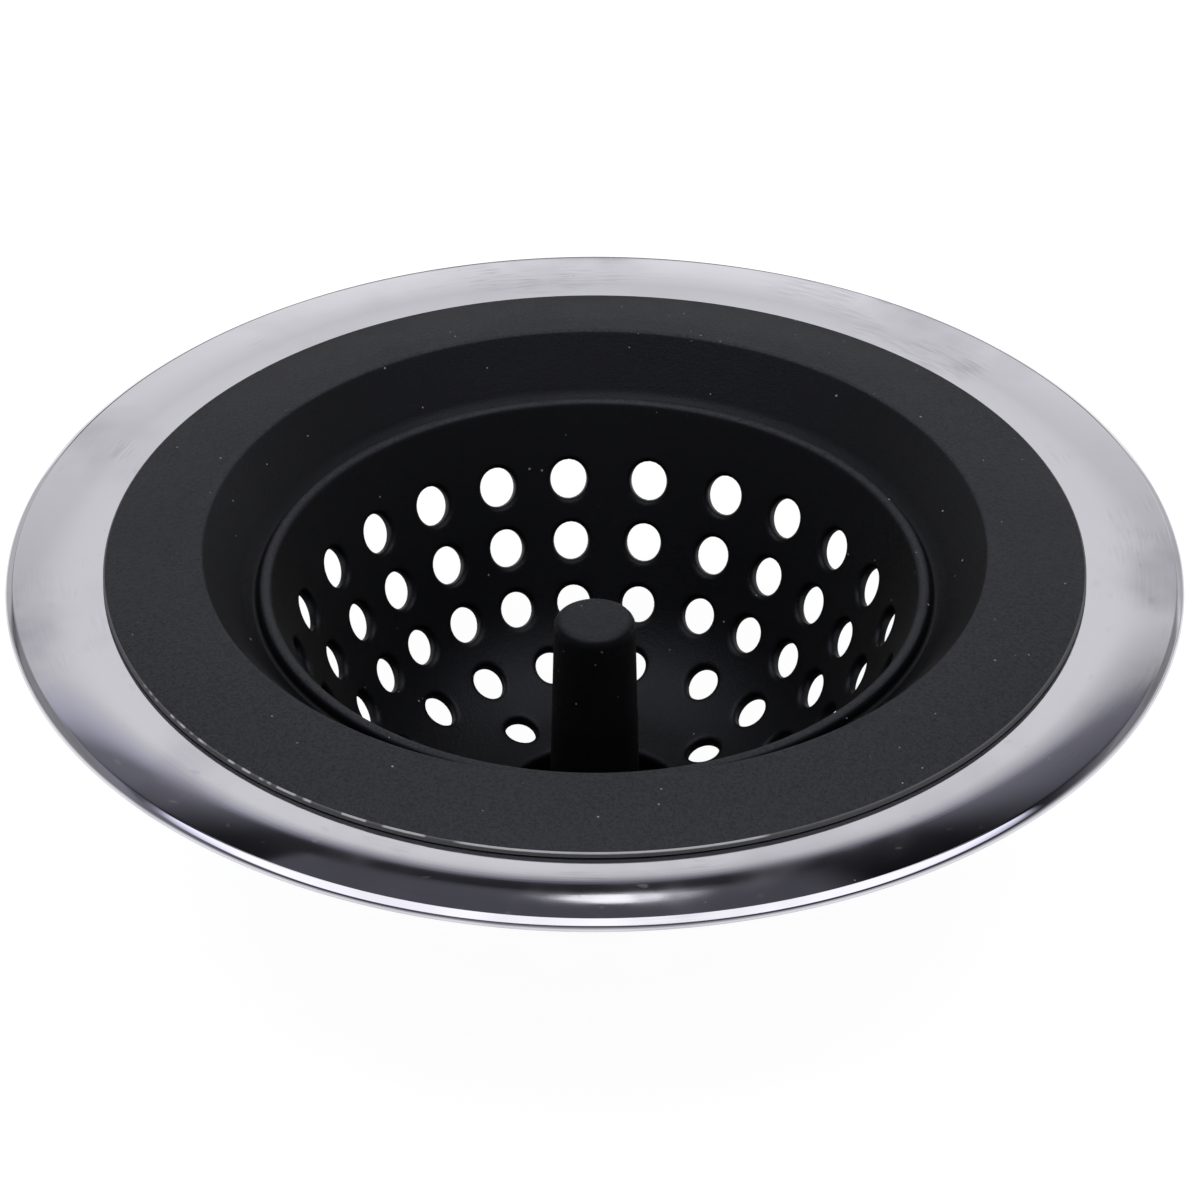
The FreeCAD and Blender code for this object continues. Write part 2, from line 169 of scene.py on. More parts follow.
class FinishSettings(PropertyGroup):
    """Colours and grades of the finishes."""
    steel: tint("Steel", "Polished sheet", (0.65, 0.642, 0.695))
    smudge: tint("Smudge", "Steel under a faint smear", (0.47, 0.455, 0.51))
    steel_roughness: share("Steel roughness", "Clean polished sheet", 0.04)
    smudge_roughness: share("Smudge roughness", "Sheet under a faint smear", 0.17)
    silicone: tint("Silicone", "Black moulding", (0.0012, 0.0013, 0.0016))
    silicone_sheen: tint("Silicone sheen", "Tint of the moulding's reflections", (0.86, 0.885, 1.0))
    silicone_gloss: share("Silicone gloss", "Strength of the moulding's reflections", 0.27)
    silicone_roughness: share("Silicone roughness", "Satin moulding", 0.43)
    # Painted top light: a lighter tone laid on the moulding's upper faces where light from above falls
    painted_top_light: tint("Dust film", "Moulding where fine dust lies on its upper faces", (0.034, 0.035, 0.041))
    # Pale colour of the line along the lip's top edge, and at a fifth of its strength painted light on the lip's edge
    # all round
    lip_line: tint("Flash", "Thin trimmed edge of the moulding", (0.6, 0.6, 0.62))
    dust: tint("Dust", "Specks on the surfaces", (0.36, 0.35, 0.34))


class StageSettings(PropertyGroup):
    """Camera, floor and light."""
    distance: length("Distance", "From the rim's middle to the camera", 0.9)
    aside: mm("Aside", "Camera's shift to the right", -0.12)
    elevation: bearing("Elevation", "Camera above the rim's level", 34.607)
    pitch: bearing("Pitch", "Camera's tilt below the level", 34.768)
    lens: setting(unit="CAMERA", subtype="DISTANCE_CAMERA")("Lens", "Focal length on a 36 mm sensor", 282.28)
    front_light: share("Front light", "Surround on the viewer's side, of that behind", 0.3)
    side_light: share("Side light", "Surround at the sides, of that in the middle", 0.8)
    far_light: share("Far light", "Surround far out at the sides, of that", 0.4)
    sweep_tilt: share("Sweep tilt", "How much lower the sweep ends on the right", 0.085)
    gap_light: share("Gap light", "Dark gap's light in the middle, of that at the sides", 0.16)
    panel_left: bearing("Panel's left", "Where round the rim, from its front, the grey panel's left edge shows", -37.6)
    panel_right: bearing("Panel's right", "Where round the rim its right edge shows", 29)
    floor_glow: share("Floor glow", "Part of the floor's white that no shadow takes away", 0.945)
    floor_paint: share("Floor paint", "Part of the floor's white that shows shadows", 0.2)
    floor_size: length("Floor size", "Half the width of the floor", 0.45)
    # Painted shadow: inside this radius reflections see no floor glow
    shade_radius: mm("Shade radius", "Floor round the foot that the part keeps dark in reflections", 35)
    open_radius: mm("Open radius", "Where the floor is mirrored at full strength", 75)
    lamp_rise: bearing("Lamp rise", "Height of the small lamp behind", 47.5)
    lamp_aside: mm("Lamp aside", "Shift of the small lamp to the right", 10)
    lamp_width: mm("Lamp width", "Width of the small lamp", 48)
    lamp_height: mm("Lamp height", "Height of the small lamp", 60)
    lamp_glow: setting(min=0)("Lamp glow", "Brightness of the small lamp's face", 1.5)


def arc(centre, radius, start, end, steps=ROUND_STEPS):
    """Points of a section's arc, by angles in radians from the outward level."""
    points = []
    for step in range(steps + 1):
        angle = start + (end - start) * step / steps
        points.append(Vector((centre[0] + radius * math.cos(angle), centre[1] + radius * math.sin(angle))))
    return points


def rounded(corners):
    """Outline through corners of (across, up, rounding), with a tangent arc at each rounding."""
    outline = []
    for index, (across, up, rounding) in enumerate(corners):
        here = Vector((across, up))
        if not rounding:
            outline.append(here)
            continue
        back = (Vector(corners[index - 1][:2]) - here).normalized()
        on = (Vector(corners[(index + 1) % len(corners)][:2]) - here).normalized()
        half = back.angle(on) / 2
        centre = here + (back + on).normalized() * rounding / math.sin(half)
        start = here + back * rounding / math.tan(half) - centre
        end = here + on * rounding / math.tan(half) - centre
        sweep = start.angle(end)
        for step in range(ROUND_STEPS + 1):
            part = sweep * step / ROUND_STEPS
            outline.append(centre + (start * math.sin(sweep - part) + end * math.sin(part)) / math.sin(sweep))
    return outline


def supported(outline):
    """The same outline, with a point close to each end of every long straight stretch."""
    points = [outline[0]]
    for start, end in zip(outline, outline[1:]):
        run = (end - start).length
        if run > 4 * SUPPORT:
            points += [start.lerp(end, SUPPORT / run), start.lerp(end, 1 - SUPPORT / run)]
        points.append(end)
    return points


def placed(name, data):
    """A new object in the scene."""
    made = bpy.data.objects.new(name, data)
    bpy.context.scene.collection.objects.link(made)
    return made


def wrapped(angle):
    """The same angle, from half a turn back to half a turn on."""
    return (angle + math.pi) % math.tau - math.pi


class Turning:
    """Points and faces of a turned piece, ring by ring."""

    def __init__(self, angles):
        self.angles = angles
        self.points, self.faces = [], []

    def point(self, angle, across, up):
        """Add one point and give its number."""
        self.points.append((across * math.cos(angle), across * math.sin(angle), up))
        return len(self.points) - 1

    def join(self, rings):
        """Join closed loops of as many points, each to the next, with four-sided faces."""
        for first, second in zip(rings, rings[1:]):
            for index, (a, b) in enumerate(zip(first, second)):
                self.faces.append((first[index - 1], a, b, second[index - 1]))

    def sweep(self, outline, start=None, end=None):
        """Join rings along an outline, from one given ring to another where they exist."""
        rings = [[self.point(angle, *place) for angle in self.angles] for place in supported(outline)]
        rings = ([start] if start else []) + rings + ([end] if end else [])
        self.join(rings)
        return rings

    def close(self, ring, up):
        """Close a ring at the axis."""
        middle = self.point(0, 0, up)
        for index, point in enumerate(ring):
            self.faces.append((ring[index - 1], point, middle))

    def finish(self, name, material):
        """Make the smooth-shaded object."""
        mesh = bpy.data.meshes.new(name)
        mesh.from_pydata(self.points, [], self.faces)
        if mesh.validate():
            raise RuntimeError(f"{name} has broken faces")
        mesh.shade_smooth()
        mesh.set_sharp_from_angle(angle=SHARP_ANGLE)
        mesh.materials.append(material)
        return placed(name, mesh)


class Bowl:
    """The bowl's inner face: a swept wall, a round corner and a sloping floor, by the run down from the bead."""

    def __init__(self, basket):
        self.basket = basket
        reach = basket.wall_sweep + basket.bead_round
        self.wall_centre = Vector((basket.bead_radius - reach * math.cos(basket.wall_lean),
                                   basket.bead_height + reach * math.sin(basket.wall_lean)))
        self.wall_end = basket.wall_lean + basket.wall_length / basket.wall_sweep
        inward = basket.wall_sweep - basket.corner_round
        self.corner_centre = self.wall_centre + Vector((inward * math.cos(self.wall_end),
                                                        -inward * math.sin(self.wall_end)))
        self.floor_lean = math.pi / 2 - basket.floor_rise
        self.floor_run = basket.wall_length + basket.corner_round * (self.floor_lean - self.wall_end)
        self.floor_edge = self.corner_centre + basket.corner_round * self.outward(self.floor_lean)

    @staticmethod
    def outward(lean):
        """Direction out of the bowl where its face leans by that much."""
        return Vector((math.cos(lean), -math.sin(lean)))

    def at(self, run):
        """Place on the inner face, its lean, and the radius of the section there."""
        basket = self.basket
        if run <= basket.wall_length:
            lean = basket.wall_lean + run / basket.wall_sweep
            return self.wall_centre + basket.wall_sweep * self.outward(lean), lean, basket.wall_sweep
        if run <= self.floor_run:
            lean = self.wall_end + (run - basket.wall_length) / basket.corner_round
            return self.corner_centre + basket.corner_round * self.outward(lean), lean, basket.corner_round
        down = Vector((-math.cos(basket.floor_rise), -math.sin(basket.floor_rise)))
        return self.floor_edge + (run - self.floor_run) * down, self.floor_lean, math.inf

    def skin(self, run, depth):
        """Place at a depth below the inner face."""
        place, lean, _ = self.at(run)
        return place + depth * self.outward(lean)

    def run_to(self, across, depth=0):
        """Run at which the floor, or a depth below it, comes to a radius."""
        start = self.floor_edge + depth * self.outward(self.floor_lean)
        return self.floor_run + (start.x - across) / math.cos(self.basket.floor_rise)


class Hole:
    """One hole: its bearing, its run, its radius, and the place, lean and bend of the inner face there."""

    def __init__(self, bowl, angle, run, radius):
        self.angle, self.run, self.radius = angle, run, radius
        self.place, self.lean, self.bend = bowl.at(run)

    def offset(self, angle, run):
        """Distance round and down from the hole's middle, on the inner face."""
        return Vector((wrapped(angle - self.angle) * self.place.x, run - self.run))

    def target(self, offset, depth):
        """Bearing and run of a point beside the hole's own straight axis."""
        across = self.place.x + depth * math.cos(self.lean)
        stretch = 1 if math.isinf(self.bend) else self.bend / (self.bend + depth)
        return self.angle + offset.x / across, self.run + offset.y * stretch


def hole_bearings(holes, count, step):
    """Bearings of a row: even steps in each quarter, with what is left shared beside its first column."""
    quarter = math.tau / holes.quarters
    wide = (quarter - (count - 2) * step) / 2
    column = [0] + [wide + index * step for index in range(count - 1)]
    return [holes.column_turn + turn * quarter + angle for turn in range(holes.quarters) for angle in column]


def halfway(bearings):
    """Bearings halfway from each hole's neighbour before it."""
    before = [bearings[-1] - math.tau] + bearings[:-1]
    return [(a + b) / 2 for a, b in zip(before, bearings)]


class Basket(Turning):
    """The silicone moulding, one closed skin with a drilled cell for each hole."""

    def __init__(self, basket, holes, seat, gauge):
        self.basket, self.holes, self.seat, self.gauge = basket, holes, seat, gauge
        self.bowl = Bowl(basket)
        self.where = {}
        wall = hole_bearings(holes, holes.wall_holes, holes.wall_step)
        edges = halfway(wall) + [halfway(wall)[0] + math.tau]
        angles = []
        for start, end in zip(edges, edges[1:]):
            angles += [start + (end - start) * step / CELL_STEPS for step in range(CELL_STEPS)]
        super().__init__(angles)
        corner = hole_bearings(holes, holes.corner_holes, holes.corner_step)
        floor = hole_bearings(holes, holes.floor_holes, math.tau / holes.quarters / holes.floor_holes)
        rows = holes.wall_rows * [wall] + [corner, floor]
        self.rows = [(holes.first_row + row * holes.row_pitch, bearings) for row, bearings in enumerate(rows)]

    def skin_point(self, angle, run, depth):
        """Add a point of the bowl's skin and remember where it lies."""
        number = self.point(angle, *self.bowl.skin(run, depth))
        self.where[number] = (angle, run)
        return number

    def build(self):
        """Inner skin, outer skin, and the holes between them."""
        basket = self.basket
        inner_end = basket.well_radius + basket.well_round * math.tan((math.pi / 2 - basket.floor_rise) / 2)
        outer_end = basket.well_radius + basket.wall + self.holes.outer_round
        row_runs = [run for run, _ in self.rows]
        limits = [row_runs[0] - self.holes.row_pitch / 2]
        limits += [(a + b) / 2 for a, b in zip(row_runs, row_runs[1:])]
        inner = limits + [self.bowl.run_to(inner_end)]
        outer = limits + [self.bowl.run_to(outer_end, basket.wall)]
        inner_rings = [[self.skin_point(angle, run, 0) for angle in self.angles] for run in inner]
        outer_rings = [[self.skin_point(angle, run, basket.wall) for angle in self.angles] for run in outer]
        for row, (run, bearings) in enumerate(self.rows):
            radius = self.holes.radius - row * self.holes.taper
            self.drill_row(run, bearings, radius, inner_rings[row:row + 2], outer_rings[row:row + 2])
        post = self.sweep(self.post_section(), end=inner_rings[-1])
        self.close(post[0], basket.post_top)
        self.sweep(self.mouth_section(limits[0]), start=inner_rings[0], end=outer_rings[0])
        foot = self.sweep(self.foot_section(), start=outer_rings[-1])
        self.close(foot[-1], 0)

    def drill_row(self, run, bearings, radius, inner_rings, outer_rings):
        """One row of holes, each in its own cell between two rings."""
        count = len(self.angles)
        edges = [min(range(count), key=lambda index: abs(wrapped(angle - self.angles[index])))
                 for angle in halfway(bearings)]
        inner_sides = {edge: self.side(edge, inner_rings, 0) for edge in edges}
        outer_sides = {edge: self.side(edge, outer_rings, self.basket.wall) for edge in edges}
        for angle, start, end in zip(bearings, edges, edges[1:] + edges[:1]):
            span = [(start + step) % count for step in range((end - start) % count + 1)]
            hole = Hole(self.bowl, angle, run, radius)
            self.drill(hole, self.loop(span, inner_rings, inner_sides), self.loop(span, outer_rings, outer_sides))

    def side(self, edge, rings, depth):
        """Points between two rings along the edge of a cell."""
        runs = [self.where[ring[edge]][1] for ring in rings]
        steps = [runs[0] + (runs[1] - runs[0]) * step / SIDE_STEPS for step in range(1, SIDE_STEPS)]
        return [self.skin_point(self.angles[edge], run, depth) for run in steps]

    @staticmethod
    def loop(span, rings, sides):
        """Points round a cell, in order."""
        top, bottom = rings
        return ([top[index] for index in span] + sides[span[-1]]
                + [bottom[index] for index in reversed(span)] + sides[span[0]][::-1])

    def drill(self, hole, inner, outer):
        """Skin from the cell's inner loop to the flare, through the wall, and out to its outer loop."""
        radius, flare, edge, wall = hole.radius, self.holes.flare, self.holes.outer_round, self.basket.wall
        offsets, outer_offsets = ([hole.offset(*self.where[point]) for point in loop] for loop in (inner, outer))
        oval = Vector((self.holes.narrow, 1 / self.holes.narrow))
        ways = [offset.normalized() * oval for offset in offsets]
        profile = [(radius + flare, 0, part) for part in INNER_PARTS]
        for step in range(ROUND_STEPS + 1):
            turn = math.pi / 2 * step / ROUND_STEPS
            profile.append((radius + flare * (1 - math.sin(turn)), flare * (1 - math.cos(turn)), 0))
        for turn in (0, math.pi / 4, math.pi / 2):
            profile.append((radius + edge * (1 - math.cos(turn)), wall - edge * (1 - math.sin(turn)), 0))
        rings = [self.around(hole, ways, offsets, *place) for place in profile]
        rings.append(self.around(hole, ways, outer_offsets, radius + edge, wall, OUTER_PART))
        self.join([inner, *rings, outer])

    def around(self, hole, ways, offsets, spread, depth, part):
        """Ring of points at a spread from a hole's axis, and part of the way from there to offsets."""
        places = [way * spread * (1 - part) + offset * part for way, offset in zip(ways, offsets)]
        return [self.point(angle, *self.bowl.skin(run, depth))
                for angle, run in (hole.target(place, depth) for place in places)]

    def post_section(self):
        """Post and well, from the post's top out to the floor."""
        basket = self.basket
        floor = self.bowl.at(self.bowl.run_to(basket.well_radius))[0]
        outline = rounded([
            (basket.post_radius / 2, basket.post_top, 0),
            (basket.post_radius, basket.post_top, basket.post_round),
            (basket.post_foot_radius, basket.wall, basket.well_fillet),
            (basket.well_radius, basket.wall, basket.well_fillet),
            (basket.well_radius, floor.y, basket.well_round),
            (*self.bowl.at(self.bowl.run_to(basket.well_radius + 2 * basket.well_round))[0], 0),
        ])
        return outline[:-2]

    def mouth_section(self, top_run):
        """Bead, fold, throat, flange, slot and under lip, from the inner wall over to the outer one."""
        basket = self.basket
        inner = [self.bowl.skin(top_run * (1 - step / ROUND_STEPS), 0) for step in range(1, ROUND_STEPS)]
        bead = (basket.bead_radius, basket.bead_height)
        bead_arc = arc(bead, basket.bead_round, math.pi - basket.wall_lean, 0, 3 * ROUND_STEPS)
        lip_top = self.seat + basket.lip_height
        slot_top = self.seat + basket.slot_gap
        slot_bottom = self.seat - self.gauge - basket.slot_gap
        under = slot_bottom - basket.under_lip
        valley = Vector((basket.bead_radius + basket.bead_round + basket.fold_round, basket.bead_height))
        dip = 1.5 * math.pi + basket.fold_lean
        bend = valley + (basket.fold_round - basket.fold_sweep) * Vector((math.cos(dip), math.sin(dip)))
        fold = arc(valley, basket.fold_round, math.pi, dip, 2 * ROUND_STEPS)
        fold += arc(bend, basket.fold_sweep, dip, math.tau - basket.throat_lean)[1:]
        slope = math.tan(basket.throat_lean)
        skin = basket.wall * math.hypot(1, slope)
        shelf = basket.bead_height - basket.fold_round - basket.wall
        rise = Vector((basket.flange_radius - basket.mouth_radius, lip_top - basket.mouth_top))
        half = math.asin(rise.length / 2 / basket.crown)
        level = math.atan2(rise.y, rise.x)
        centre = (Vector((basket.mouth_radius, basket.mouth_top)) + rise / 2
                  + Vector((rise.y, -rise.x)).normalized() * basket.crown * math.cos(half))
        crown = arc(centre, basket.crown, math.pi / 2 + level + half, math.pi / 2 + level - half, 4 * ROUND_STEPS)
        mouth = rounded([
            (*fold[-1], 0),
            (basket.mouth_radius, basket.mouth_top, basket.mouth_round),
            (*crown[ROUND_STEPS], 0),
        ])
        edge = rounded([
            (*crown[-3], 0),
            (basket.flange_radius, lip_top, basket.lip_round),
            (basket.flange_radius, slot_top, 0),
            (basket.slot_radius, slot_top, 0),
            (basket.slot_radius, slot_bottom, 0),
            (basket.under_lip_radius, slot_bottom, basket.lip_round),
            (basket.under_lip_radius, under, basket.lip_round),
            (fold[-1].x + (under - fold[-1].y) * slope + skin, under, basket.lip_round),
            (fold[-1].x + (shelf - fold[-1].y) * slope + skin, shelf, basket.lip_round),
            (basket.bead_radius, shelf, 0),
        ])
        outer = [self.bowl.skin(top_run * step / ROUND_STEPS, basket.wall) for step in range(1, ROUND_STEPS)]
        outer = [place for place in outer if place.y < shelf - basket.lip_round]
        return inner + bead_arc + fold[1:] + mouth[1:-1] + crown[ROUND_STEPS:-3] + edge + outer

    def foot_section(self):
        """Foot, from the floor's outer skin in to the middle."""
        basket = self.basket
        radius = basket.well_radius + basket.wall
        shoulder = self.bowl.skin(self.bowl.run_to(radius, basket.wall), basket.wall).y
        return rounded([
            (radius, shoulder - SUPPORT, 0),
            (radius, 0, basket.foot_round),
            (basket.post_foot_radius, 0, 0),
        ])


def steel_section(rim):
    """Closed section of the pressed sheet: level part, dome, bevelled edge, and the same way back below."""
    bevel = rim.edge_bevel * Vector((math.cos(rim.edge_slope), -math.sin(rim.edge_slope)))
    inset = rim.outer_radius - rim.edge_round - bevel.x
    lean = math.asin((inset - rim.level_radius) / (rim.dome - rim.edge_round))
    dome_centre = (rim.level_radius, rim.seat - rim.dome)
    first_bend = Vector((inset, dome_centre[1] + (rim.dome - rim.edge_round) * math.cos(lean)))
    last_bend = first_bend + bevel
    tilt = math.pi / 2 - lean
    fall = math.pi / 2 - rim.edge_slope
    back = rim.edge_round - rim.gauge
    upper = arc(dome_centre, rim.dome, math.pi / 2, tilt, 4 * ROUND_STEPS)
    upper += arc(first_bend, rim.edge_round, tilt, fall)[1:] + arc(last_bend, rim.edge_round, fall, 0)
    lower = arc(last_bend, back, 0, fall) + arc(first_bend, back, fall, tilt)
    lower += arc(dome_centre, rim.dome - rim.gauge, tilt, math.pi / 2)[1:]
    turned = rounded([
        (*upper[-1], 0),
        (rim.outer_radius, rim.foot, rim.cut_round),
        (rim.outer_radius - rim.gauge, rim.foot, rim.cut_round),
        (*lower[0], 0),
    ])
    bore = rounded([
        (*lower[-1], 0),
        (rim.bore_radius, rim.seat - rim.gauge, rim.cut_round),
        (rim.bore_radius, rim.seat, rim.cut_round),
        (*upper[0], 0),
    ])
    return upper + turned[1:-1] + lower + bore[1:-1]


class Tree:
    """Short hand for adding linked nodes to a tree."""

    def __init__(self, tree):
        self.tree = tree

    def add(self, kind, inputs=None, **settings):
        """Add a node, with settings by name, and links or values for its inputs by name or number."""
        node = self.tree.nodes.new(kind)
        for name, value in settings.items():
            setattr(node, name, value)
        for name, value in (inputs or {}).items():
            self.feed(node.inputs[name], value)
        return node

    def feed(self, socket, value):
        """Link a socket to a node's output, or give it a value."""
        if isinstance(value, bpy.types.NodeSocket):
            self.tree.links.new(value, socket)
        else:
            socket.default_value = value

    def math(self, operation, *values, clamp=False):
        """Add a sum and give its result."""
        node = self.add("ShaderNodeMath", dict(enumerate(values)), operation=operation, use_clamp=clamp)
        return node.outputs[0]

    def times(self, first, *others):
        """Multiply values."""
        for other in others:
            first = self.math("MULTIPLY", first, other)
        return first

    def step(self, value, low, high, start=0.0, end=1.0):
        """Ease a value from start to end as it goes from low to high."""
        inputs = dict(enumerate((value, low, high, start, end)))
        return self.add("ShaderNodeMapRange", inputs, interpolation_type="SMOOTHSTEP").outputs[0]

    def blend(self, factor, first, second):
        """Mix two colours, by the numbers of the node's colour sockets."""
        return self.add("ShaderNodeMix", {0: factor, 6: first, 7: second}, data_type="RGBA").outputs[2]

    def noise(self, vector, scale, detail=2.0, roughness=0.5):
        """Add a noise texture and give its value."""
        node = self.add("ShaderNodeTexNoise", {"Vector": vector, "Scale": scale, "Detail": detail,
                                               "Roughness": roughness})
        return node.outputs["Fac"]


def new_group(name, inputs, output):
    """An empty node group with plain value sockets, and a vector where the input is named so."""
    group = bpy.data.node_groups.new(name, "ShaderNodeTree")
    for socket in inputs:
        kind = "NodeSocketVector" if socket == "Vector" else "NodeSocketFloat"
        group.interface.new_socket(name=socket, in_out="INPUT", socket_type=kind)
    group.interface.new_socket(name=output, in_out="OUTPUT", socket_type="NodeSocketFloat")
    tree = Tree(group)
    return tree, tree.add("NodeGroupInput").outputs


def grain_group(name):
    """Fine even grain of a moulded or polished surface."""
    tree, given = new_group(name, ("Vector", "Scale"), "Height")
    fine = tree.noise(given["Vector"], given["Scale"], 1.0)
    coarse = tree.noise(given["Vector"], tree.times(given["Scale"], 0.31), 1.0)
    height = tree.math("ADD", tree.times(fine, 0.6), tree.times(coarse, 0.4))
    tree.add("NodeGroupOutput", {"Height": height})
    return tree.tree


def speck_group(name):
    """Scattered specks, as a mask: one in some cells, each of its own size and place."""
    tree, given = new_group(name, ("Vector", "Scale", "Share", "Size"), "Mask")
    bent = tree.add("ShaderNodeTexNoise", {"Vector": given["Vector"], "Scale": 2500.0, "Detail": 1.0})
    shift = tree.add("ShaderNodeVectorMath", {0: bent.outputs["Color"], "Scale": 0.25 * MM}, operation="SCALE")
    place = tree.add("ShaderNodeVectorMath", {0: given["Vector"], 1: shift.outputs[0]}, operation="ADD")
    cells = tree.add("ShaderNodeTexVoronoi", {"Vector": place.outputs[0], "Scale": given["Scale"]})
    pick = tree.add("ShaderNodeSeparateColor", {"Color": cells.outputs["Color"]}).outputs
    chosen = tree.math("LESS_THAN", pick[0], given["Share"])
    reach = tree.times(tree.math("MULTIPLY_ADD", pick[1], 0.7, 0.3), given["Size"])
    away = tree.math("DIVIDE", tree.math("DIVIDE", cells.outputs["Distance"], given["Scale"]), reach)
    tree.add("NodeGroupOutput", {"Mask": tree.times(chosen, tree.step(away, 1.0, 0.6))})
    return tree.tree


def cloud_group(name):
    """Soft uneven patches, as a mask: smears on steel, cloudiness on rubber."""
    tree, given = new_group(name, ("Vector", "Scale", "Start", "End"), "Mask")
    patches = tree.noise(given["Vector"], given["Scale"], 3.0, 0.55)
    tree.add("NodeGroupOutput", {"Mask": tree.step(patches, given["Start"], given["End"])})
    return tree.tree


EFFECTS = {"Fine grain": grain_group, "Specks": speck_group, "Clouds": cloud_group}


class Finish(Tree):
    """A material on its way: the tree, object coordinates, and the effects that materials share."""

    def __init__(self, name):
        self.material = bpy.data.materials.new(name)
        self.material.use_nodes = True
        super().__init__(self.material.node_tree)
        self.shader = self.tree.nodes["Principled BSDF"]
        self.place = self.add("ShaderNodeTexCoord").outputs["Object"]
        self.axes = self.add("ShaderNodeSeparateXYZ", {0: self.place}).outputs
        squares = [self.times(self.axes[axis], self.axes[axis]) for axis in "XY"]
        self.across = self.math("SQRT", self.math("ADD", *squares))

    @cached_property
    def turn(self):
        """Bearing about the axis."""
        return self.math("ARCTAN2", self.axes["Y"], self.axes["X"])

    def effect(self, name, place=None, **values):
        """Place a group that is built once for all materials, and give its output."""
        group = bpy.data.node_groups.get(name) or EFFECTS[name](name)
        return self.add("ShaderNodeGroup", {"Vector": place or self.place, **values}, node_tree=group).outputs[0]

    def streaks(self, rings, sectors, detail):
        """Noise that runs round the axis: so many units each metre out, and each radian round."""
        place = self.add("ShaderNodeCombineXYZ", {"X": self.times(self.across, rings),
                                                  "Y": self.times(self.turn, sectors)})
        return self.noise(place.outputs[0], 1.0, detail)

    def bump(self, height, depth):
        """Small relief of the surface, to a depth in metres."""
        self.connect(self.add("ShaderNodeBump", {"Height": height, "Distance": depth}).outputs[0], "Normal")

    def connect(self, value, socket):
        """Feed the shader."""
        self.feed(self.shader.inputs[socket], value)


def opaque(colour):
    """A colour with full cover."""
    return (*colour, 1.0)


WHITE = opaque((1, 1, 1))
SMEARS = {"Scale": 55.0, "Start": 0.43, "End": 0.72}
SCUFFS = {"Scale": 62.0, "Start": 0.5, "End": 0.72}
CLOUDINESS = {"Scale": 90.0, "Start": 0.35, "End": 0.7}
SPECKS = {"Scale": 420.0, "Share": 0.6, "Size": 0.12 * MM}
SCRATCHES = {"Scale": 330.0, "Share": 0.3, "Size": 0.09 * MM}
DUST = {"Scale": 560.0, "Share": 0.6, "Size": 0.16 * MM}
# Streaks, by units each metre out, units each radian round, and detail
POLISH, HAIRLINES, RUBS, DASHES = (5200.0, 3.0, 2.0), (900.0, 26.0, 0.0), (3000.0, 14.0, 4.0), (0.0, 11.0, 2.0)
# Scale of the fine grain, and depth of the relief
STEEL_GRAIN, STEEL_RELIEF = 3000.0, 0.0006 * MM
SILICONE_GRAIN, SILICONE_RELIEF = 9000.0, 0.06 * MM
# Distance from the axis over which smears grow, the lean and drawn-out shape of scratches, and the marks' cover
HANDLED = (50 * MM, 54 * MM)
SCRATCH_LEAN, SCRATCH_SHAPE, MARK_COVER = math.radians(65), (1.0, 1 / 7, 1.0), 0.6


def steel_finish(finish):
    """Polished sheet: circular polish, smears, scuffs and hairlines, and specks and scratches that are not metal."""
    steel = Finish("polished_steel")
    smear = steel.times(steel.effect("Clouds", **SMEARS), steel.step(steel.across, *HANDLED, 0.4, 1.0))
    polish = steel.streaks(*POLISH)
    hairlines = steel.step(steel.streaks(*HAIRLINES), 0.75, 0.79)
    worn = steel.math("MULTIPLY", smear, steel.math("MULTIPLY_ADD", polish, 0.8, 0.4), clamp=True)
    scuffs = steel.times(steel.effect("Clouds", **SCUFFS), steel.step(steel.streaks(*RUBS), 0.35, 0.7))
    worn = steel.math("MAXIMUM", worn, scuffs)
    colour = steel.blend(worn, opaque(finish.steel), opaque(finish.smudge))
    specks = steel.effect("Specks", **SPECKS)
    spun = steel.add("ShaderNodeVectorRotate", {"Vector": steel.place, "Angle": SCRATCH_LEAN}, rotation_type="Z_AXIS")
    drawn_out = steel.add("ShaderNodeVectorMath", {0: spun.outputs[0], 1: SCRATCH_SHAPE}, operation="MULTIPLY")
    scratches = steel.effect("Specks", drawn_out.outputs[0], **SCRATCHES)
    marks = steel.times(steel.math("MAXIMUM", specks, scratches), MARK_COVER)
    steel.connect(steel.blend(marks, colour, opaque(finish.dust)), "Base Color")
    steel.connect(steel.math("SUBTRACT", 1.0, marks), "Metallic")
    rough = steel.math("MULTIPLY_ADD", smear, finish.smudge_roughness - finish.steel_roughness,
                       finish.steel_roughness)
    steel.connect(steel.math("MULTIPLY_ADD", hairlines, 0.05, rough), "Roughness")
    grain = steel.effect("Fine grain", Scale=STEEL_GRAIN)
    steel.bump(steel.math("MULTIPLY_ADD", grain, 0.3, polish), STEEL_RELIEF)
    return steel.material


# Middles of the pale line's whole and broken stretches, clockwise from the right, and how they end
WHOLE_LINE, BROKEN_LINE = math.radians(88), math.radians(128)
WHOLE_ENDS, BROKEN_ENDS = (0.33, 0.29), (0.5, 0.4)
# Where the pale line starts, inward from the lip's edge and down from its top; the first also bounds the painted light
# on the lip's edge
LINE_EDGE, LINE_TOP = (0.2 * MM, 0.14 * MM), (0.13 * MM, 0.07 * MM)
# Painted top light on the moulding: how level a face is, its depth under the seat, and the gap it leaves outside the
# bead
TOP_LIGHT_LEVEL, TOP_LIGHT_DEPTH = (0.55, 0.95), (8 * MM, 4.5 * MM)
TOP_LIGHT_BEAD, TOP_LIGHT_THROAT = (0.6 * MM, 0.35 * MM), (1.6 * MM, 3 * MM)


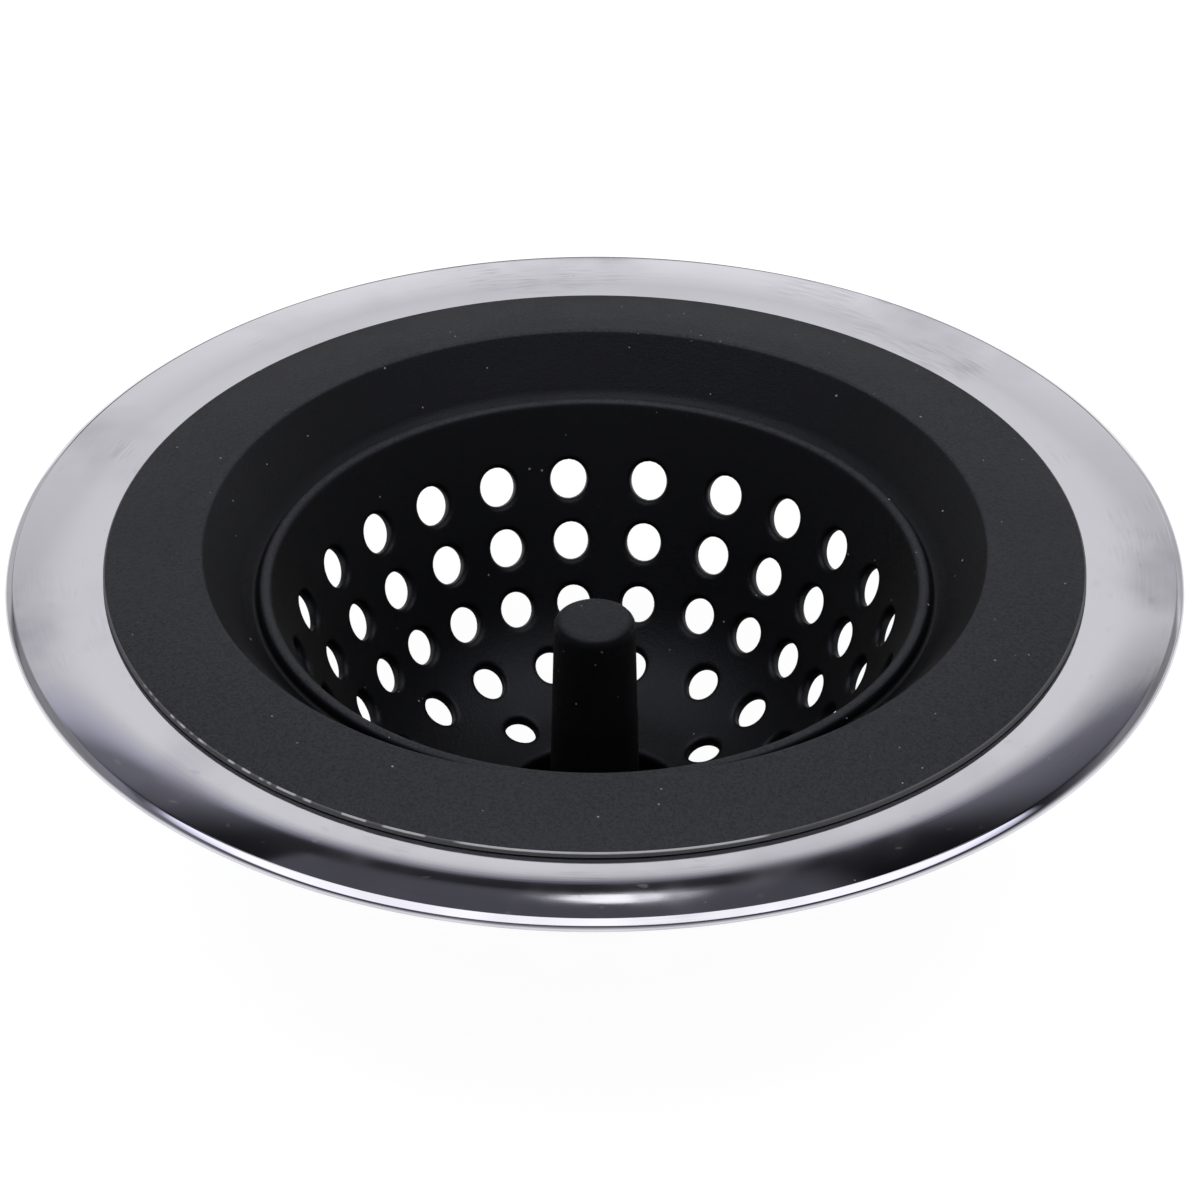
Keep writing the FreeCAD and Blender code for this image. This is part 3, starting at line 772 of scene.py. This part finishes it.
def silicone_finish(finish, basket, seat):
    """Satin black rubber: grain, cloudiness and dust specks, painted top light on its upper faces, a thin pale line
    along the lip, and painted light on the lip's edge.
    """
    rubber = Finish("black_silicone")
    height, bead = rubber.axes["Z"], basket.bead_radius
    rubber.connect(finish.silicone_gloss, "Specular IOR Level")
    rubber.connect(opaque(finish.silicone_sheen), "Specular Tint")
    grain = rubber.effect("Fine grain", Scale=SILICONE_GRAIN)
    dust = rubber.effect("Specks", **DUST)
    near_edge = rubber.step(rubber.across, *(basket.flange_radius - inward for inward in LINE_EDGE))
    near_top = rubber.step(height, *(seat + basket.lip_height - down for down in LINE_TOP))
    from_whole = rubber.math("ABSOLUTE", rubber.math("ADD", rubber.turn, WHOLE_LINE))
    from_broken = rubber.math("ABSOLUTE", rubber.math("ADD", rubber.turn, BROKEN_LINE))
    dashes = rubber.times(rubber.step(rubber.streaks(*DASHES), 0.48, 0.52), rubber.step(from_broken, *BROKEN_ENDS))
    stretches = rubber.math("MAXIMUM", dashes, rubber.step(from_whole, *WHOLE_ENDS))
    lip_line = rubber.times(stretches, near_edge, near_top)
    normal = rubber.add("ShaderNodeNewGeometry").outputs["Normal"]
    level = rubber.step(rubber.add("ShaderNodeSeparateXYZ", {0: normal}).outputs["Z"], *TOP_LIGHT_LEVEL)
    exposed = rubber.math("MAXIMUM", rubber.step(rubber.across, *(bead + out for out in TOP_LIGHT_BEAD)),
                          rubber.step(rubber.across, *(bead + out for out in TOP_LIGHT_THROAT)))
    high = rubber.step(height, *(seat - depth for depth in TOP_LIGHT_DEPTH))
    # Painted top light: lighter on level faces high on the moulding, left off the valley beside the bead and the deep
    # bowl, mottled by the grain
    painted_top_light = rubber.times(level, high, exposed, rubber.step(grain, 0.3, 0.7, 0.3, 1.2))
    colour = rubber.blend(painted_top_light, opaque(finish.silicone), opaque(finish.painted_top_light))
    colour = rubber.blend(dust, colour, opaque(finish.dust))
    # Painted light: the lip's edge is lightened all round at a fifth, as if lit from the front and by the steel,
    # beside the pale line
    line_and_painted_edge_light = rubber.math("MAXIMUM", lip_line, rubber.times(near_edge, 0.2))
    rubber.connect(rubber.blend(line_and_painted_edge_light, colour, opaque(finish.lip_line)), "Base Color")
    rough = rubber.math("MULTIPLY_ADD", rubber.effect("Clouds", **CLOUDINESS), 0.08, finish.silicone_roughness - 0.04)
    rubber.connect(rubber.math("MULTIPLY_ADD", dust, 0.3, rough, clamp=True), "Roughness")
    rubber.bump(grain, SILICONE_RELIEF)
    return rubber.material


# Brightness of the surround by height in degrees: a white sweep, a dark gap with a panel, a light overhead,
# and light low down that leaves out the middle behind
SURROUND = {0: 0.02, 13: 0.02, 16: 0.3, 17.8: 1.05, 25: 0.97, 32: 0.79, 35: 0.89, 36: 0.88, 38: 0.45, 40: 0.0}
GAP = {36: 0.0, 38.5: 0.2, 41: 0.18, 45: 0.1, 50: 0.05, 57: 0.03, 60: 0.0}
PANEL = {42.5: 0.0, 44: 0.08, 56: 0.09, 60: 0.0}
OVERHEAD = {59: 0.0, 64: 1.5}
LOW_ROUND = {0: 0.6, 15: 0.6, 18: 0.0}
# Tint of the gap, and the heights between which it comes and goes
COOL = (0.95, 0.95, 1.1, 1.0)
COOL_START, COOL_END = (0.6, 0.64), (0.86, 0.82)
# Where the surround changes, as parts of the way to each side (x) and to the back (y)
TO_BACK, TO_SIDES, TO_FAR_SIDES = (-0.5, 0.35), (0.04, 0.24), (0.25, 0.6)
LOW_SIDES, LOW_FRONT = (0.27, 0.36), (0.65, 0.5)
# Half the width of the overhead light in front and behind, where it narrows, its soft edge, and its fall aside
OVERHEAD_HALF, OVERHEAD_NARROWS, OVERHEAD_EDGE, OVERHEAD_FALL = (0.65, 0.27), (0.2, 0.4), 0.08, 0.25
# Round the rim from its front, in radians: where the gap lightens, and half the panel's soft edges
GAP_LIGHTENS, PANEL_EDGES = (0.75, 1.0), (0.01, 0.07)


def by_height(tree, rise, levels):
    """Brightness that follows the height above the floor, between levels given by degrees."""
    ramp = tree.add("ShaderNodeValToRGB", {"Fac": rise})
    stops = ramp.color_ramp.elements
    while len(stops) < len(levels):
        stops.new(1.0)
    for stop, (degrees, level) in zip(stops, levels.items()):
        stop.position = math.sin(math.radians(degrees))
        stop.color = (level, level, level, 1.0)
    return ramp.outputs["Color"]


def surround_world(stage):
    """Surround for light and reflections, and plain white for the camera."""
    world = bpy.data.worlds.new("surround")
    world.use_nodes = True
    tree = Tree(world.node_tree)
    way = tree.add("ShaderNodeTexCoord").outputs["Generated"]
    axes = tree.add("ShaderNodeSeparateXYZ", {0: way}).outputs
    front = tree.step(axes["Y"], *TO_BACK, stage.front_light, 1.0)
    aside = tree.math("ABSOLUTE", axes["X"])
    sides = tree.step(aside, *TO_SIDES, 1.0, stage.side_light)
    far_sides = tree.step(aside, *TO_FAR_SIDES, 1.0, stage.far_light)
    rise = tree.math("MULTIPLY_ADD", axes["X"], stage.sweep_tilt, axes["Z"])
    fan = tree.math("ARCTAN2", axes["X"], tree.math("SUBTRACT", math.cos(stage.elevation), axes["Y"]))
    gap = tree.step(tree.math("ABSOLUTE", fan), *GAP_LIGHTENS, stage.gap_light, 1.0)
    left = tree.step(fan, stage.panel_left - PANEL_EDGES[0], stage.panel_left + PANEL_EDGES[0])
    right = tree.step(fan, stage.panel_right + PANEL_EDGES[1], stage.panel_right - PANEL_EDGES[1])
    lifted = tree.math("MULTIPLY_ADD", aside, OVERHEAD_FALL, axes["Z"])
    past_edge = tree.math("SUBTRACT", aside, tree.step(axes["Y"], *OVERHEAD_NARROWS, *OVERHEAD_HALF))
    inside = tree.step(past_edge, OVERHEAD_EDGE, -OVERHEAD_EDGE)
    not_behind = tree.math("MAXIMUM", tree.step(aside, *LOW_SIDES), tree.step(axes["Y"], *LOW_FRONT))
    light = 0.0
    for height, levels, *masks in ((rise, SURROUND, front, sides, far_sides), (rise, GAP, gap),
                                   (axes["Z"], PANEL, left, right), (lifted, OVERHEAD, inside),
                                   (axes["Z"], LOW_ROUND, not_behind)):
        light = tree.math("ADD", light, tree.times(by_height(tree, height, levels), *masks))
    path = tree.add("ShaderNodeLightPath").outputs
    seen = tree.math("MAXIMUM", path["Is Camera Ray"], path["Is Transmission Ray"])
    glow = tree.add("ShaderNodeMix", {0: seen, 2: light, 3: 1.0}).outputs[0]
    in_gap = tree.times(tree.step(axes["Z"], *COOL_START), tree.step(axes["Z"], *COOL_END))
    background = world.node_tree.nodes["Background"].inputs
    tree.feed(background["Strength"], glow)
    tree.feed(background["Color"], tree.blend(in_gap, WHITE, COOL))
    return world


def floor_finish(stage):
    """White floor: a glow for what is seen or mirrored, left out of reflections round the foot as a painted shadow,
    and paint that takes the object's shadow.
    """
    floor = Finish("white_floor")
    floor.connect(opaque(3 * [stage.floor_paint]), "Base Color")
    floor.connect(1.0, "Roughness")
    floor.connect(0.0, "Specular IOR Level")
    floor.connect(WHITE, "Emission Color")
    path = floor.add("ShaderNodeLightPath").outputs
    # Painted shadow: the mirrored glow fades out towards the foot, so reflections show the floor under the part dark
    mirrored = floor.times(path["Is Glossy Ray"], floor.step(floor.across, stage.shade_radius, stage.open_radius))
    seen = floor.math("MAXIMUM", path["Is Camera Ray"], path["Is Transmission Ray"])
    floor.connect(floor.times(floor.math("MAXIMUM", seen, mirrored), stage.floor_glow), "Emission Strength")
    return floor.material


class STRAINER_OT_rim(Operator):
    """Make the pressed steel rim"""
    bl_idname = "strainer.rim"
    bl_label = "Steel rim"

    def execute(self, context):
        turning = Turning([math.tau * step / RIM_STEPS for step in range(RIM_STEPS)])
        rings = turning.sweep(steel_section(context.scene.strainer_rim))
        turning.join([rings[-1], rings[0]])
        piece = turning.finish("rim_sheet", steel_finish(context.scene.strainer_finish))
        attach(piece, "rim")
        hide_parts("steel_rim")
        return {"FINISHED"}


class STRAINER_OT_basket(Operator):
    """Make the perforated silicone basket"""
    bl_idname = "strainer.basket"
    bl_label = "Silicone basket"

    def execute(self, context):
        scene = context.scene
        rim = scene.strainer_rim
        moulding = Basket(scene.strainer_basket, scene.strainer_holes, rim.seat, rim.gauge)
        moulding.build()
        material = silicone_finish(scene.strainer_finish, scene.strainer_basket, rim.seat)
        piece = moulding.finish("basket_moulding", material)
        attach(piece, "basket")
        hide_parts("silicone_basket")
        return {"FINISHED"}


class STRAINER_OT_stage(Operator):
    """Make the surround, the floor, the lamp and the camera"""
    bl_idname = "strainer.stage"
    bl_label = "Stage"

    def execute(self, context):
        scene = context.scene
        stage = scene.strainer_stage
        seat = scene.strainer_rim.seat
        scene.view_settings.view_transform = "Standard"
        scene.world = surround_world(stage)
        self.place_floor(stage)
        self.place_lamp(stage, seat)
        scene.camera = self.place_camera(stage, seat)
        return {"FINISHED"}

    @staticmethod
    def place_floor(stage):
        """Wide floor, a hair under the foot so that the two share no plane."""
        size = stage.floor_size
        mesh = bpy.data.meshes.new("floor")
        mesh.from_pydata([(-size, -size, 0), (size, -size, 0), (size, size, 0), (-size, size, 0)], [], [(0, 1, 2, 3)])
        mesh.materials.append(floor_finish(stage))
        floor = placed("floor", mesh)
        floor.location.z = -FLOOR_GAP

    @staticmethod
    def place_lamp(stage, seat):
        """Small lamp behind, which the front of the rim mirrors."""
        light = bpy.data.lights.new("lamp", "AREA")
        light.shape = "ELLIPSE"
        light.size = stage.lamp_width
        light.size_y = stage.lamp_height
        light.energy = stage.lamp_glow * math.pi * math.pi / 4 * stage.lamp_width * stage.lamp_height
        lamp = placed("lamp", light)
        lamp.location = (stage.lamp_aside, math.cos(stage.lamp_rise), seat + math.sin(stage.lamp_rise))
        lamp.rotation_euler = (math.pi / 2 - stage.lamp_rise, 0, math.pi)
        lamp.visible_camera = False

    @staticmethod
    def place_camera(stage, seat):
        """Camera at the photograph's angle."""
        camera = bpy.data.cameras.new("camera")
        camera.lens = stage.lens
        viewer = placed("camera", camera)
        viewer.location = (stage.aside, -stage.distance * math.cos(stage.elevation),
                           seat + stage.distance * math.sin(stage.elevation))
        viewer.rotation_euler = (math.pi / 2 - stage.pitch, 0, 0)
        return viewer


OPERATORS = (STRAINER_OT_rim, STRAINER_OT_basket, STRAINER_OT_stage)


class VIEW3D_PT_strainer(Panel):
    """Sidebar of the strainer"""
    bl_label = "Sink strainer"
    bl_space_type = "VIEW_3D"
    bl_region_type = "UI"
    bl_category = "Strainer"

    def draw(self, context):
        for operator in OPERATORS:
            self.layout.operator(operator.bl_idname)
        for name, group in SETTINGS.items():
            box = self.layout.box()
            box.label(text=group.__doc__)
            for setting in group.__annotations__:
                box.prop(getattr(context.scene, name), setting)


SETTINGS = {
    "strainer_rim": RimSettings,
    "strainer_basket": BasketSettings,
    "strainer_holes": HoleSettings,
    "strainer_finish": FinishSettings,
    "strainer_stage": StageSettings,
}
CLASSES = (*SETTINGS.values(), *OPERATORS, VIEW3D_PT_strainer)


def register():
    """Add the classes, and the settings to the scene."""
    for each in CLASSES:
        bpy.utils.register_class(each)
    for name, group in SETTINGS.items():
        setattr(bpy.types.Scene, name, PointerProperty(type=group))


def unregister():
    """Take the settings and the classes away again."""
    for name in SETTINGS:
        delattr(bpy.types.Scene, name)
    for each in reversed(CLASSES):
        bpy.utils.unregister_class(each)


def main():
    """Make the pieces and the stage."""
    register()
    bpy.ops.strainer.rim()
    bpy.ops.strainer.basket()
    bpy.ops.strainer.stage()


if __name__ == "__main__":
    main()
